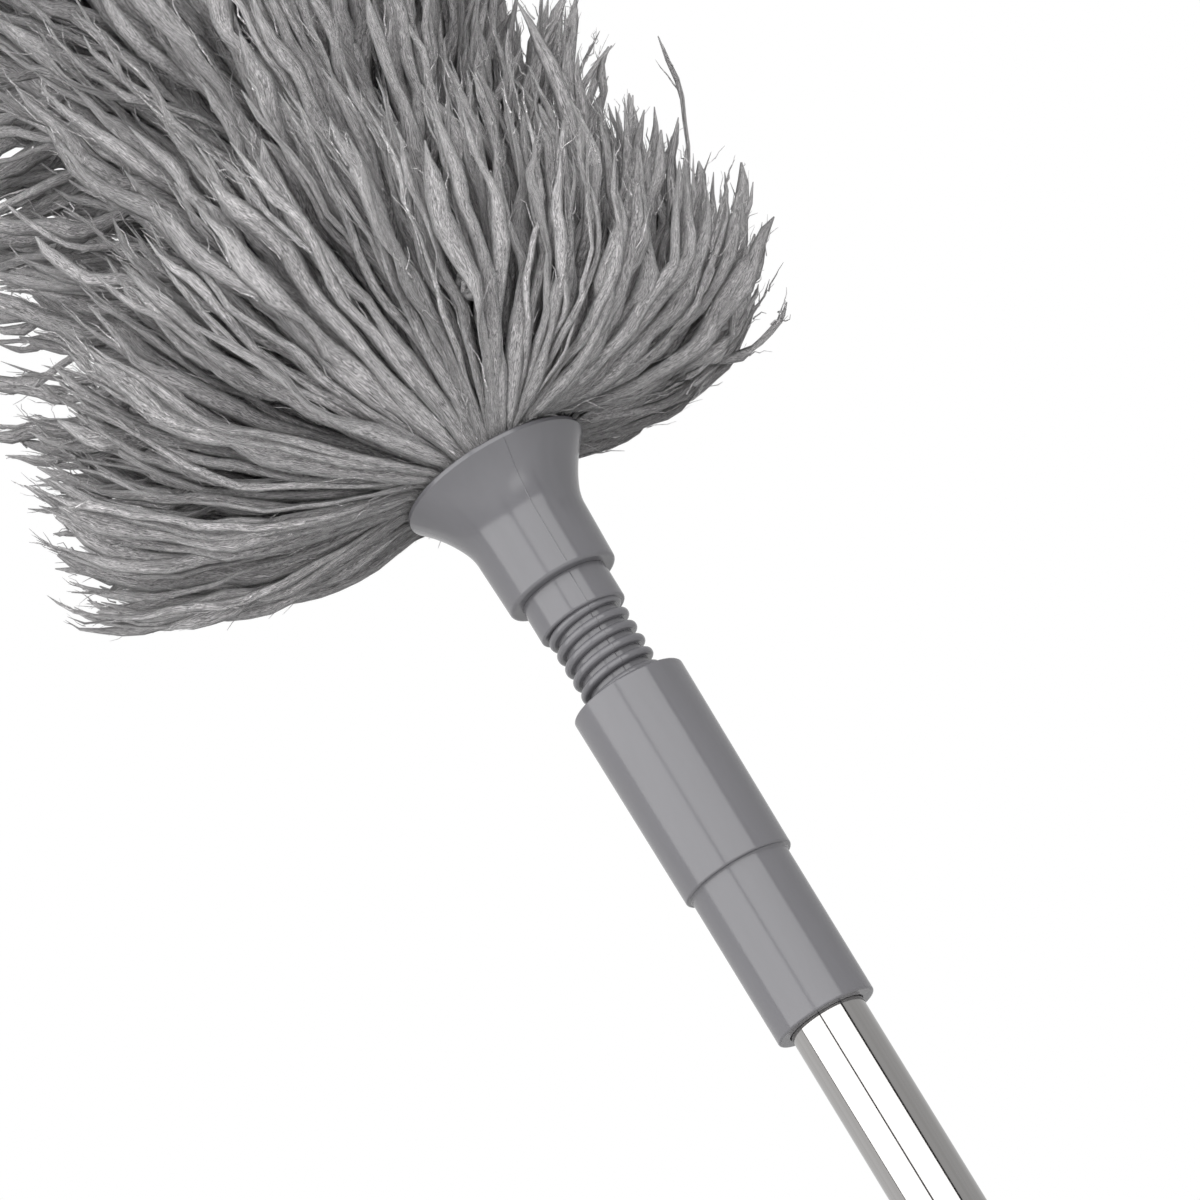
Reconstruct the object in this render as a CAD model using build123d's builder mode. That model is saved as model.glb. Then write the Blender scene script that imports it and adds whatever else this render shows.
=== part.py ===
from build123d import *
from math import pi, radians, tan
import os

# An extendable microfibre duster, standing head up on its own axis, +Z towards the head.
# Three stainless tubes telescope and lock by a twist. The head screws into an adapter on the top tube.
# Everything is in millimetres. Z = 0 is the lowest point of the handle's end cap.

# Tubes, from the lowest and widest to the highest and slimmest
WALL = 0.5
LOWER_OD = 25.0
MIDDLE_OD = 22.0
TOP_OD = 19.0
LOWER_LENGTH = 480.0
SHOWN = 70.0  # how much of an inner tube stays out of the ferrule below it when the pole is closed

# Handle
CAP_HEIGHT = 26.0
CAP_OD = 31.0
CAP_SPIGOT = 24.0
HANG_HOLE_D = 7.0
HANG_HOLE_Z = 9.5
TAB_THICKNESS = 8.0
GRIP_LENGTH = 134.0
GRIP_OD = 31.0
GRIP_SHOULDER = 8.0
GRIP_WAIST = 0.7
GRIP_RINGS = 14
GRIP_RING_PITCH = 7.0
GRIP_GROOVE_R = 1.1

# Ferrules: a sleeve round a tube's mouth whose top lip guides the next tube
FERRULE_WALL = 1.9
FERRULE_OVER_TUBE = 22.0
FERRULE_LIP = 6.0
GUIDE_CLEARANCE = 0.05

# Twist locks: a stud under each inner tube turns in a cone that wedges a split sleeve open
PLUG_FLANGE = 3.0
PLUG_SPIGOT = 16.0
STUD_NECK_R = 4.0
STUD_ROOT_R = 3.2
STUD_PITCH = 3.0
STUD_THREAD = 24.0
STUD_THREAD_START = 1.0
SLEEVE_LENGTH = 24.0
SLEEVE_WEB = 4.0
SLEEVE_SLITS = 4
SLIT_WIDTH = 3.0
SLEEVE_TUBE_GAP = 0.1
SLEEVE_MOUTH_WALL = 1.6
CONE_LENGTH = 16.0
CONE_BASE = 4.5
NUT_TURNS = 2.0
CONE_TAPER = 12.0
CONE_LIFT = 1.5  # half a turn of the stud
CONE_LOCKED_GAP = 0.2
STOP_GAP = 0.5

# Adapter: a stepped moulded sleeve, tube socket below and coarse female thread above
ADAPTER_LOWER_R = (12.7, 12.8)
ADAPTER_LOWER_LENGTH = 39.8
ADAPTER_UPPER_R = (14.1, 14.6)
ADAPTER_UPPER_LENGTH = 51.6
SOCKET_DEPTH = 38.0
SOCKET_MOUTH_R = 9.8
THREAD_WELL_DEPTH = 34.0
ADAPTER_CORE_R = 6.0
ADAPTER_EDGE = 0.5

# The head's coarse screw thread, drawn up to 20.7 mm short of home
THREAD_PITCH = 3.8
THREAD_ROOT_R = 8.35
THREAD_CREST_R = 10.15
THREAD_RIDGE_HALF = 1.1
THREAD_CREST_ROUND = 1.0
THREAD_GAP = 0.25
THREAD_LENGTH = 30.0
THREAD_SHOWN = 20.7
FEMALE_TURNS = 2.6
SKIRT_R = 11.25
SKIRT_LENGTH = 9.5
BARREL_R = 10.0
BARREL_LENGTH = 16.0

# Flared collar: a loose bell that turns on the plug's barrel
COLLAR_LENGTH = 33.5
COLLAR_LIP_R = 14.2
COLLAR_NECK_R = 14.7
COLLAR_NECK_LENGTH = 15.0
COLLAR_RIM_R = 23.7
COLLAR_LAND = 1.2
COLLAR_WALL = 2.0
COLLAR_FLOOR = 3.0
COLLAR_PLAY = 0.1

# Head: core, its fabric sleeve, and rings of strand pile
CORE_R = 6.0
CORE_BORE_R = 3.0
CORE_SOCKET = 14.0
CORE_LENGTH = 322.0
CORE_PIN_R = 1.5
SLEEVE_CLOTH = 1.6
PILE_TOP_ABOVE_RIM = 330.0
PILE_REACH = 93.0
PILE_DEPTH = 56.0
PILE_THICK = 5.5
PILE_CORNER = 45.0
PILE_RINGS = 5
PILE_STEP = 60.0
PILE_NARROWING = 3.0
PILE_RIM_GAP = 1.3
TIP_CAP_DOME = 4.0
TIP_CAP_SPIGOT = 10.0
TIP_REACH = 70.0
TIP_FOOT = 12.0
TIP_DOME = 12.0
TIP_CROWN = 0.55
TIP_SET_IN = 4.0

# Heights worked out from the sizes above
LOWER_TOP = CAP_HEIGHT + LOWER_LENGTH
LOCK_HEIGHT = PLUG_FLANGE + GUIDE_CLEARANCE + SLEEVE_LENGTH + 8.0
MIDDLE_BOTTOM = CAP_HEIGHT + CAP_SPIGOT + STOP_GAP + LOCK_HEIGHT
MIDDLE_TOP = LOWER_TOP + FERRULE_LIP + SHOWN + FERRULE_OVER_TUBE
TOP_BOTTOM = MIDDLE_BOTTOM + PLUG_SPIGOT + STOP_GAP + LOCK_HEIGHT
ADAPTER_BOTTOM = MIDDLE_TOP + FERRULE_LIP + SHOWN
ADAPTER_STEP = ADAPTER_BOTTOM + ADAPTER_LOWER_LENGTH
ADAPTER_TOP = ADAPTER_STEP + ADAPTER_UPPER_LENGTH
TOP_TOP = ADAPTER_BOTTOM + SOCKET_DEPTH
SKIRT_BOTTOM = ADAPTER_TOP + THREAD_SHOWN
SKIRT_TOP = SKIRT_BOTTOM + SKIRT_LENGTH
BARREL_TOP = SKIRT_TOP + BARREL_LENGTH
RIM = SKIRT_TOP + COLLAR_LENGTH
CORE_BOTTOM = BARREL_TOP - CORE_SOCKET
CORE_TOP = CORE_BOTTOM + CORE_LENGTH
PILE_TOP = RIM + PILE_TOP_ABOVE_RIM


def save(piece, label):
    """Name a finished piece and write it to its own STEP file."""
    piece.label = label
    export_step(piece, f"parts/{label}.step")


def wind_ridge(corners, crest_round, pitch, bottom, turns):
    """Wind a ridge, whose section's corners are (radius, height) pairs, up a helix from bottom."""
    with BuildLine() as path:
        Helix(pitch=pitch, height=pitch * turns, radius=corners[0][0], center=(0, 0, bottom))
    with BuildSketch(Plane.XZ) as section:
        with BuildLine():
            Polyline(*[(radius, bottom + height) for radius, height in corners], close=True)
        make_face()
        if crest_round:
            fillet(section.vertices().group_by(Axis.X)[-1], crest_round)
    sweep(section.sketch, path=path.line, is_frenet=True)


def make_tube(label, outer_d, bottom, top):
    with BuildPart() as tube:
        with BuildSketch(Plane.XY.offset(bottom)):
            Circle(outer_d / 2)
            Circle(outer_d / 2 - WALL, mode=Mode.SUBTRACT)
        extrude(amount=top - bottom)
    save(tube.part, label)


def make_end_cap():
    """Domed cap with a flat tab for the hang hole, and a spigot pressed into the lower tube."""
    with BuildPart() as end_cap:
        with BuildSketch(Plane.XZ):
            with BuildLine():
                Line((0, 0), (4, 0))
                Spline((4, 0), (11, 4), (CAP_OD / 2, 17), tangents=((1, 0), (0, 1)))
                Polyline((CAP_OD / 2, 17), (CAP_OD / 2, CAP_HEIGHT), (0, CAP_HEIGHT), (0, 0))
            make_face()
        revolve(axis=Axis.Z)
        with BuildSketch(Plane.XY.offset(CAP_HEIGHT)):
            Circle(LOWER_OD / 2 - WALL)
        extrude(amount=CAP_SPIGOT)
        fillet(end_cap.edges().group_by(Axis.Z)[-1], 1.0)
        with BuildSketch(Plane.XY.offset(CAP_HEIGHT + CAP_SPIGOT)):
            Circle(LOWER_OD / 2 - WALL - 2.5)
        extrude(amount=-(CAP_SPIGOT - 1.0), mode=Mode.SUBTRACT)
        # Both cheeks beside the tab are cut away, with a curved shoulder above
        for side in (-1, 1):
            with BuildSketch(Plane.YZ.offset(-CAP_OD)):
                with BuildLine():
                    near = side * TAB_THICKNESS / 2
                    far = side * CAP_OD
                    Polyline((near, 13), (near, -1), (far, -1), (far, 17.5))
                    Spline((far, 17.5), (side * 12, 17.5), (near, 13))
                make_face()
            extrude(amount=2 * CAP_OD, mode=Mode.SUBTRACT)
        with Locations(Plane.XZ.offset(-TAB_THICKNESS)):
            with Locations((0, HANG_HOLE_Z)):
                Hole(HANG_HOLE_D / 2, depth=2 * TAB_THICKNESS)
    save(end_cap.part, "handle_end_cap")


def make_grip():
    """Moulded grip over the lower tube: a waisted sleeve with ring grooves."""
    bottom = CAP_HEIGHT
    top = bottom + GRIP_LENGTH
    with BuildPart() as grip:
        with BuildSketch(Plane.XZ):
            with BuildLine():
                Polyline((LOWER_OD / 2, top), (LOWER_OD / 2, bottom), (GRIP_OD / 2, bottom))
                shoulder = (GRIP_OD / 2, top - GRIP_SHOULDER)
                waist = (GRIP_OD / 2 - GRIP_WAIST, bottom + GRIP_LENGTH / 2)
                ThreePointArc((GRIP_OD / 2, bottom), waist, shoulder)
                Polyline(shoulder, (GRIP_OD / 2 - 2.0, top), (LOWER_OD / 2, top))
            make_face()
        revolve(axis=Axis.Z)
        first = bottom + (GRIP_LENGTH - (GRIP_RINGS - 1) * GRIP_RING_PITCH) / 2 - 4.0
        with BuildSketch(Plane.XZ):
            for ring in range(GRIP_RINGS):
                with Locations((GRIP_OD / 2 + 0.2, first + ring * GRIP_RING_PITCH)):
                    Circle(GRIP_GROOVE_R)
        revolve(axis=Axis.Z, mode=Mode.SUBTRACT)
    save(grip.part, "handle_grip")


def make_ferrule(label, tube_d, tube_top, inner_d):
    """Sleeve round a tube's mouth. Its lip closes the gap down to the next tube."""
    outer_r = tube_d / 2 + FERRULE_WALL
    bore_r = inner_d / 2 + GUIDE_CLEARANCE
    bottom = tube_top - FERRULE_OVER_TUBE
    top = tube_top + FERRULE_LIP
    with BuildPart() as ferrule:
        with BuildSketch(Plane.XZ):
            with BuildLine():
                Polyline(
                    (tube_d / 2, bottom),
                    (outer_r - 0.4, bottom),
                    (outer_r, bottom + 6),
                    (outer_r, top - 5),
                    (bore_r + 1.6, top),
                    (bore_r, top),
                    (bore_r, tube_top),
                    (tube_d / 2, tube_top),
                    close=True,
                )
            make_face()
        revolve(axis=Axis.Z)
        rim = ferrule.edges().filter_by(GeomType.CIRCLE)
        fillet(rim.filter_by(lambda edge: edge.radius > outer_r - 0.1), 1.2)
        # Two shallow rings where the fingers hold it
        with BuildSketch(Plane.XZ):
            with Locations((outer_r + 0.3, bottom + 9), (outer_r + 0.3, bottom + 14)):
                Circle(0.9)
        revolve(axis=Axis.Z, mode=Mode.SUBTRACT)
    save(ferrule.part, label)


def stud_foot(tube_bottom):
    """Height of the lower end of the stud that hangs under an inner tube."""
    return tube_bottom - PLUG_FLANGE - GUIDE_CLEARANCE - SLEEVE_WEB - 0.3 - STUD_THREAD


def make_end_plug(label, tube_d, tube_bottom):
    """Plug pressed into an inner tube's foot, with the stud that works the lock below it."""
    flange_bottom = tube_bottom - PLUG_FLANGE
    foot = stud_foot(tube_bottom)
    neck_bottom = foot + STUD_THREAD
    base_r = STUD_ROOT_R - 0.3
    with BuildPart() as plug:
        with BuildSketch(Plane.XY.offset(foot)):
            Circle(STUD_ROOT_R)
        extrude(amount=STUD_THREAD)
        ridge = [(base_r, -0.8), (STUD_NECK_R, -0.45), (STUD_NECK_R, 0.45), (base_r, 0.8)]
        turns = STUD_THREAD / STUD_PITCH - 0.5
        wind_ridge(ridge, 0, STUD_PITCH, foot + STUD_THREAD_START, turns)
        with BuildSketch(Plane.XY.offset(neck_bottom)):
            Circle(STUD_NECK_R)
        extrude(amount=flange_bottom - neck_bottom)
        with BuildSketch(Plane.XY.offset(flange_bottom)):
            Circle(tube_d / 2)
        extrude(amount=PLUG_FLANGE)
        with BuildSketch(Plane.XY.offset(tube_bottom)):
            Circle(tube_d / 2 - WALL)
        extrude(amount=PLUG_SPIGOT)
    save(plug.part, label)


def make_lock_sleeve(label, bore_d, tube_bottom):
    """Split sleeve that hugs the outer tube's bore. Its fingers open when the cone rises."""
    top = tube_bottom - PLUG_FLANGE - GUIDE_CLEARANCE
    bottom = top - SLEEVE_LENGTH
    outer_r = bore_d / 2 - SLEEVE_TUBE_GAP
    mouth_r = outer_r - SLEEVE_MOUTH_WALL
    throat_r = mouth_r - (SLEEVE_LENGTH - SLEEVE_WEB) * tan(radians(CONE_TAPER))
    with BuildPart() as sleeve:
        with BuildSketch(Plane.XZ):
            with BuildLine():
                Polyline(
                    (STUD_NECK_R + GUIDE_CLEARANCE, top),
                    (outer_r, top),
                    (outer_r, bottom),
                    (mouth_r, bottom),
                    (throat_r, top - SLEEVE_WEB),
                    (STUD_NECK_R + GUIDE_CLEARANCE, top - SLEEVE_WEB),
                    close=True,
                )
            make_face()
        revolve(axis=Axis.Z)
        with BuildSketch(Plane.XY.offset(bottom)):
            with PolarLocations(bore_d / 4 + 2, SLEEVE_SLITS):
                Rectangle(bore_d / 2, SLIT_WIDTH)
        extrude(amount=SLEEVE_LENGTH - SLEEVE_WEB - 1, mode=Mode.SUBTRACT)
    save(sleeve.part, label)


def make_lock_cone(label, bore_d, tube_bottom):
    """Cone nut on the stud. Its ribs ride in the sleeve's slits, so it climbs instead of turning."""
    sleeve_bottom = tube_bottom - PLUG_FLANGE - GUIDE_CLEARANCE - SLEEVE_LENGTH
    shoulder = sleeve_bottom - CONE_LIFT
    bottom = shoulder - CONE_BASE
    top = bottom + CONE_LENGTH
    base_r = bore_d / 2 - SLEEVE_TUBE_GAP - SLEEVE_MOUTH_WALL - CONE_LOCKED_GAP
    top_r = base_r - (top - shoulder) * tan(radians(CONE_TAPER))
    bore_r = STUD_NECK_R + THREAD_GAP
    with BuildPart() as cone:
        with BuildSketch(Plane.XZ):
            with BuildLine():
                Polyline((0, bottom), (base_r, bottom), (base_r, shoulder), (top_r, top), (0, top), close=True)
            make_face()
        revolve(axis=Axis.Z)
        with BuildSketch(Plane.XY.offset(bottom)):
            with PolarLocations(base_r - 1.6, SLEEVE_SLITS):
                Rectangle(4.0, SLIT_WIDTH - 0.5)
        extrude(amount=CONE_LENGTH - 2.0)
        with BuildSketch(Plane.XY.offset(bottom)):
            Circle(bore_r)
        extrude(amount=CONE_LENGTH, mode=Mode.SUBTRACT)
        # The nut's own ridge sits half a pitch from the stud's
        stud_start = stud_foot(tube_bottom) + STUD_THREAD_START
        whole_pitches = round((bottom + 3.0 - stud_start) / STUD_PITCH)
        start = stud_start + (whole_pitches + 0.5) * STUD_PITCH
        tip_r = STUD_ROOT_R + THREAD_GAP
        ridge = [(bore_r + 0.3, -0.75), (bore_r + 0.3, 0.75), (tip_r, 0.3), (tip_r, -0.3)]
        wind_ridge(ridge, 0, STUD_PITCH, start, NUT_TURNS)
    save(cone.part, label)


def make_adapter():
    """Stepped sleeve: the top tube is pressed in below, and the head screws in above."""
    well_bottom = ADAPTER_TOP - THREAD_WELL_DEPTH
    bore_r = THREAD_CREST_R + THREAD_GAP
    with BuildPart() as adapter:
        with BuildSketch(Plane.XZ):
            with BuildLine():
                Polyline(
                    (SOCKET_MOUTH_R, ADAPTER_BOTTOM),
                    (ADAPTER_LOWER_R[0], ADAPTER_BOTTOM),
                    (ADAPTER_LOWER_R[1], ADAPTER_STEP),
                    (ADAPTER_UPPER_R[0], ADAPTER_STEP),
                    (ADAPTER_UPPER_R[1], ADAPTER_TOP),
                    (bore_r + 0.6, ADAPTER_TOP),
                    (bore_r, ADAPTER_TOP - 0.6),
                    (bore_r, well_bottom),
                    (ADAPTER_CORE_R, well_bottom),
                    (ADAPTER_CORE_R, TOP_TOP),
                    (TOP_OD / 2, TOP_TOP),
                    (TOP_OD / 2, ADAPTER_BOTTOM + 0.6),
                    close=True,
                )
            make_face()
        revolve(axis=Axis.Z)
        rims = adapter.edges().filter_by(GeomType.CIRCLE)
        fillet(rims.filter_by(lambda edge: edge.radius > ADAPTER_LOWER_R[0] - 0.05), ADAPTER_EDGE)
        # Half a pitch from the male ridge, which starts at the plug's foot
        male_start = SKIRT_BOTTOM - THREAD_LENGTH - THREAD_PITCH
        lowest = ADAPTER_TOP - 1.6 - FEMALE_TURNS * THREAD_PITCH
        whole_pitches = round((lowest - male_start) / THREAD_PITCH - 0.5)
        start = male_start + (whole_pitches + 0.5) * THREAD_PITCH
        tip_r = THREAD_ROOT_R + THREAD_GAP
        ridge = [(bore_r + 0.3, -1.0), (bore_r + 0.3, 1.0), (tip_r, 0.5), (tip_r, -0.5)]
        wind_ridge(ridge, 0, THREAD_PITCH, start, FEMALE_TURNS)
    save(adapter.part, "pole_adapter")


def make_plug():
    """The head's base: a coarse rounded screw, a plain skirt and the barrel inside the collar."""
    foot = SKIRT_BOTTOM - THREAD_LENGTH
    inner = THREAD_ROOT_R - 0.35
    with BuildPart() as plug:
        ridge = [
            (inner, -THREAD_RIDGE_HALF),
            (inner, THREAD_RIDGE_HALF),
            (THREAD_CREST_R, THREAD_RIDGE_HALF),
            (THREAD_CREST_R, -THREAD_RIDGE_HALF),
        ]
        turns = THREAD_LENGTH / THREAD_PITCH + 2
        wind_ridge(ridge, THREAD_CREST_ROUND, THREAD_PITCH, foot - THREAD_PITCH, turns)
        with BuildSketch(Plane.XY.offset(foot - THREAD_PITCH)):
            Circle(THREAD_ROOT_R)
        extrude(amount=THREAD_LENGTH + 2 * THREAD_PITCH)
        split(bisect_by=Plane.XY.offset(foot), keep=Keep.TOP)
        split(bisect_by=Plane.XY.offset(SKIRT_BOTTOM), keep=Keep.BOTTOM)
        # A lead-in taper on the foot
        with BuildSketch(Plane.XZ):
            with BuildLine():
                Polyline((THREAD_ROOT_R - 0.8, foot), (14, foot), (14, foot + 4.5), close=True)
            make_face()
        revolve(axis=Axis.Z, mode=Mode.SUBTRACT)
        with BuildSketch(Plane.XY.offset(SKIRT_BOTTOM)):
            Circle(SKIRT_R)
        extrude(amount=SKIRT_LENGTH)
        skirt_rims = plug.edges().filter_by(GeomType.CIRCLE)
        fillet(skirt_rims.filter_by(lambda edge: edge.radius > SKIRT_R - 0.05).sort_by(Axis.Z)[0], 0.6)
        with BuildSketch(Plane.XY.offset(SKIRT_TOP)):
            Circle(BARREL_R)
        extrude(amount=BARREL_LENGTH)
        with BuildSketch(Plane.XY.offset(BARREL_TOP)):
            Circle(CORE_R)
        extrude(amount=-CORE_SOCKET, mode=Mode.SUBTRACT)
        # The moulding is cored out from its foot
        with BuildSketch(Plane.XY.offset(foot)):
            Circle(THREAD_ROOT_R - 2.2)
        extrude(amount=THREAD_LENGTH - 2, mode=Mode.SUBTRACT)
        # A cross hole for the pin that holds the core
        with BuildSketch(Plane.XZ):
            with Locations((0, CORE_BOTTOM + CORE_SOCKET / 3)):
                Circle(CORE_PIN_R)
        extrude(amount=BARREL_R + 1, both=True, mode=Mode.SUBTRACT)
    save(plug.part, "threaded_plug")


def make_collar():
    """Flared bell over the root of the pile, carried between the skirt and the pile's clamp ring."""
    bottom = SKIRT_TOP + COLLAR_PLAY / 2
    neck = SKIRT_TOP + COLLAR_NECK_LENGTH
    lip = RIM - COLLAR_LAND
    flare = [(COLLAR_NECK_R, neck), (16.3, RIM - 12.0), (19.8, RIM - 5.9), (COLLAR_RIM_R, lip)]
    hollow = [(radius - COLLAR_WALL, height + 0.6) for radius, height in flare[:-1]]
    hollow.append((COLLAR_RIM_R - COLLAR_LAND, RIM))
    with BuildPart() as collar:
        with BuildSketch(Plane.XZ):
            with BuildLine():
                Line((0, bottom), (COLLAR_LIP_R, bottom))
                Line((COLLAR_LIP_R, bottom), flare[0])
                Spline(*flare, tangents=((0, 1), (1, 1.1)))
                Polyline(flare[-1], (COLLAR_RIM_R, RIM), (0, RIM), (0, bottom))
            make_face()
        revolve(axis=Axis.Z)
        fillet(collar.edges().group_by(Axis.Z)[0], 1.0)
        with BuildSketch(Plane.XZ):
            with BuildLine():
                Polyline((0, RIM), (0, bottom + COLLAR_FLOOR), (COLLAR_LIP_R - COLLAR_WALL, bottom + COLLAR_FLOOR))
                Line((COLLAR_LIP_R - COLLAR_WALL, bottom + COLLAR_FLOOR), hollow[0])
                Spline(*hollow, tangents=((0, 1), (1, 1.1)))
                Line(hollow[-1], (0, RIM))
            make_face()
        revolve(axis=Axis.Z, mode=Mode.SUBTRACT)
        with BuildSketch(Plane.XY.offset(bottom)):
            Circle(BARREL_R + COLLAR_PLAY)
        extrude(amount=COLLAR_FLOOR, mode=Mode.SUBTRACT)
        fillet(collar.edges().group_by(Axis.Z)[-1].sort_by(SortBy.RADIUS)[-1], 0.4)
    save(collar.part, "flared_collar")


def make_core():
    """Moulded rod up the middle of the head, with its pin, tip cap and cloth sleeve."""
    with BuildPart() as rod:
        with BuildSketch(Plane.XY.offset(CORE_BOTTOM)):
            Circle(CORE_R)
        extrude(amount=CORE_LENGTH)
        with BuildSketch(Plane.XY.offset(CORE_TOP)):
            Circle(CORE_BORE_R)
        extrude(amount=-(CORE_LENGTH - CORE_SOCKET), mode=Mode.SUBTRACT)
        with BuildSketch(Plane.XZ):
            with Locations((0, CORE_BOTTOM + CORE_SOCKET / 3)):
                Circle(CORE_PIN_R)
        extrude(amount=CORE_R + 1, both=True, mode=Mode.SUBTRACT)
    save(rod.part, "core_rod")

    with BuildPart() as pin:
        with BuildSketch(Plane.XZ):
            with Locations((0, CORE_BOTTOM + CORE_SOCKET / 3)):
                Circle(CORE_PIN_R)
        extrude(amount=BARREL_R - 0.4, both=True)
    save(pin.part, "core_pin")

    with BuildPart() as tip_cap:
        with BuildSketch(Plane.XY.offset(CORE_TOP)):
            Circle(CORE_R + SLEEVE_CLOTH)
        extrude(amount=TIP_CAP_DOME)
        fillet(tip_cap.edges().group_by(Axis.Z)[-1], TIP_CAP_DOME / 2)
        with BuildSketch(Plane.XY.offset(CORE_TOP)):
            Circle(CORE_BORE_R)
        extrude(amount=-TIP_CAP_SPIGOT)
    save(tip_cap.part, "core_tip_cap")

    with BuildPart() as cloth:
        with BuildSketch(Plane.XY.offset(BARREL_TOP + 1)):
            Circle(CORE_R + SLEEVE_CLOTH)
            Circle(CORE_R, mode=Mode.SUBTRACT)
        extrude(amount=CORE_TOP - BARREL_TOP - 1)
    save(cloth.part, "core_cloth_sleeve")

    with BuildPart() as clamp_ring:
        with BuildSketch(Plane.XY.offset(SKIRT_TOP + COLLAR_FLOOR + 2 * COLLAR_PLAY)):
            Circle(BARREL_R + 1.2)
            Circle(BARREL_R, mode=Mode.SUBTRACT)
        extrude(amount=5)
    save(clamp_ring.part, "pile_clamp_ring")


def make_pile_root():
    """The bound ends of the lowest strands, packed round the barrel inside the collar."""
    with BuildPart() as root:
        with BuildSketch(Plane.XZ):
            with BuildLine():
                Polyline(
                    (BARREL_R, BARREL_TOP - 6),
                    (BARREL_R + 1.6, BARREL_TOP - 6),
                    (BARREL_R + 4.0, RIM + PILE_RIM_GAP),
                    (CORE_R + SLEEVE_CLOTH, RIM + PILE_RIM_GAP),
                    (CORE_R + SLEEVE_CLOTH, BARREL_TOP),
                    (BARREL_R, BARREL_TOP),
                    close=True,
                )
            make_face()
        revolve(axis=Axis.Z)
    save(root.part, "pile_root")


def make_pile_rings():
    """Layers of strand pile up the core, spread wide across X and lying flatter across Y."""
    for ring in range(PILE_RINGS):
        reach = PILE_REACH - PILE_NARROWING * max(0, ring - 2)
        with BuildPart() as pile:
            with BuildSketch(Plane.XY.offset(RIM + PILE_RIM_GAP + ring * PILE_STEP)):
                RectangleRounded(2 * reach, 2 * PILE_DEPTH, PILE_CORNER)
                Circle(CORE_R + SLEEVE_CLOTH, mode=Mode.SUBTRACT)
            extrude(amount=PILE_THICK)
        save(pile.part, f"pile_ring_{ring + 1}")


def tuft_outline(reach):
    """Corners of the tip tuft from one side: a narrow foot, a wide shoulder and a flat crown."""
    base = CORE_TOP + TIP_CAP_DOME
    half = [(TIP_FOOT, base), (reach, PILE_TOP - TIP_DOME), (TIP_CROWN * reach, PILE_TOP)]
    return half + [(-across, height) for across, height in reversed(half)]


def make_pile_tip():
    """The bevelled tuft that closes the head over the tip cap."""
    with BuildPart() as tuft:
        with BuildSketch(Plane.XZ) as wide:
            Polygon(*tuft_outline(TIP_REACH))
        extrude(wide.sketch, amount=PILE_DEPTH, both=True)
        with BuildSketch(Plane.YZ) as deep:
            Polygon(*tuft_outline(PILE_DEPTH - TIP_SET_IN))
        extrude(deep.sketch, amount=TIP_REACH, both=True, mode=Mode.INTERSECT)
    save(tuft.part, "pile_tip")


os.makedirs("parts", exist_ok=True)
make_end_cap()
make_grip()
make_tube("lower_tube", LOWER_OD, CAP_HEIGHT, LOWER_TOP)
make_tube("middle_tube", MIDDLE_OD, MIDDLE_BOTTOM, MIDDLE_TOP)
make_tube("top_tube", TOP_OD, TOP_BOTTOM, TOP_TOP)
make_ferrule("lower_ferrule", LOWER_OD, LOWER_TOP, MIDDLE_OD)
make_ferrule("middle_ferrule", MIDDLE_OD, MIDDLE_TOP, TOP_OD)
make_end_plug("middle_end_plug", MIDDLE_OD, MIDDLE_BOTTOM)
make_end_plug("top_end_plug", TOP_OD, TOP_BOTTOM)
make_lock_sleeve("middle_lock_sleeve", LOWER_OD - 2 * WALL, MIDDLE_BOTTOM)
make_lock_sleeve("top_lock_sleeve", MIDDLE_OD - 2 * WALL, TOP_BOTTOM)
make_lock_cone("middle_lock_cone", LOWER_OD - 2 * WALL, MIDDLE_BOTTOM)
make_lock_cone("top_lock_cone", MIDDLE_OD - 2 * WALL, TOP_BOTTOM)
make_adapter()
make_plug()
make_collar()
make_core()
make_pile_root()
make_pile_rings()
make_pile_tip()

print("pole closed", round(PILE_TOP), "thread lead per radian", THREAD_PITCH / (2 * pi))
print("heights: adapter", ADAPTER_BOTTOM, ADAPTER_TOP, "skirt", SKIRT_BOTTOM, "rim", RIM)
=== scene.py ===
"""The looks of the telescopic duster: its materials, mould seams, strands, studio and camera."""

import math

import bpy
import numpy as np
from mathutils import Matrix, Vector


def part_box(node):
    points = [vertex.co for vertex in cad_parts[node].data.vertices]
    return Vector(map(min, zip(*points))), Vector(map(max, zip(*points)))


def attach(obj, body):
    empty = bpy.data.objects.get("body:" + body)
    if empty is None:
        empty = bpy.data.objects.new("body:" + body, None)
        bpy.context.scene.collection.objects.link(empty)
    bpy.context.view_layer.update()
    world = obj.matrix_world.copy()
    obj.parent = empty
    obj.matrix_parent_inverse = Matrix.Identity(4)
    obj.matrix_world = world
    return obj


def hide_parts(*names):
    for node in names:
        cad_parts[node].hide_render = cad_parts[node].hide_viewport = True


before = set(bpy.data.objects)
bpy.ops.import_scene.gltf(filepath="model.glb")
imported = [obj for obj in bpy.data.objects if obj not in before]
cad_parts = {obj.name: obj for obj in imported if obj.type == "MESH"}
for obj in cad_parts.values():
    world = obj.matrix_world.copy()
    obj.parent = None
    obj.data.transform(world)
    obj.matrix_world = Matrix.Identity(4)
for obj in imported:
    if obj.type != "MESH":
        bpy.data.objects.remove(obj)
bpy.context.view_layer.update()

MM = 0.001
rng = np.random.default_rng(7)

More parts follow.
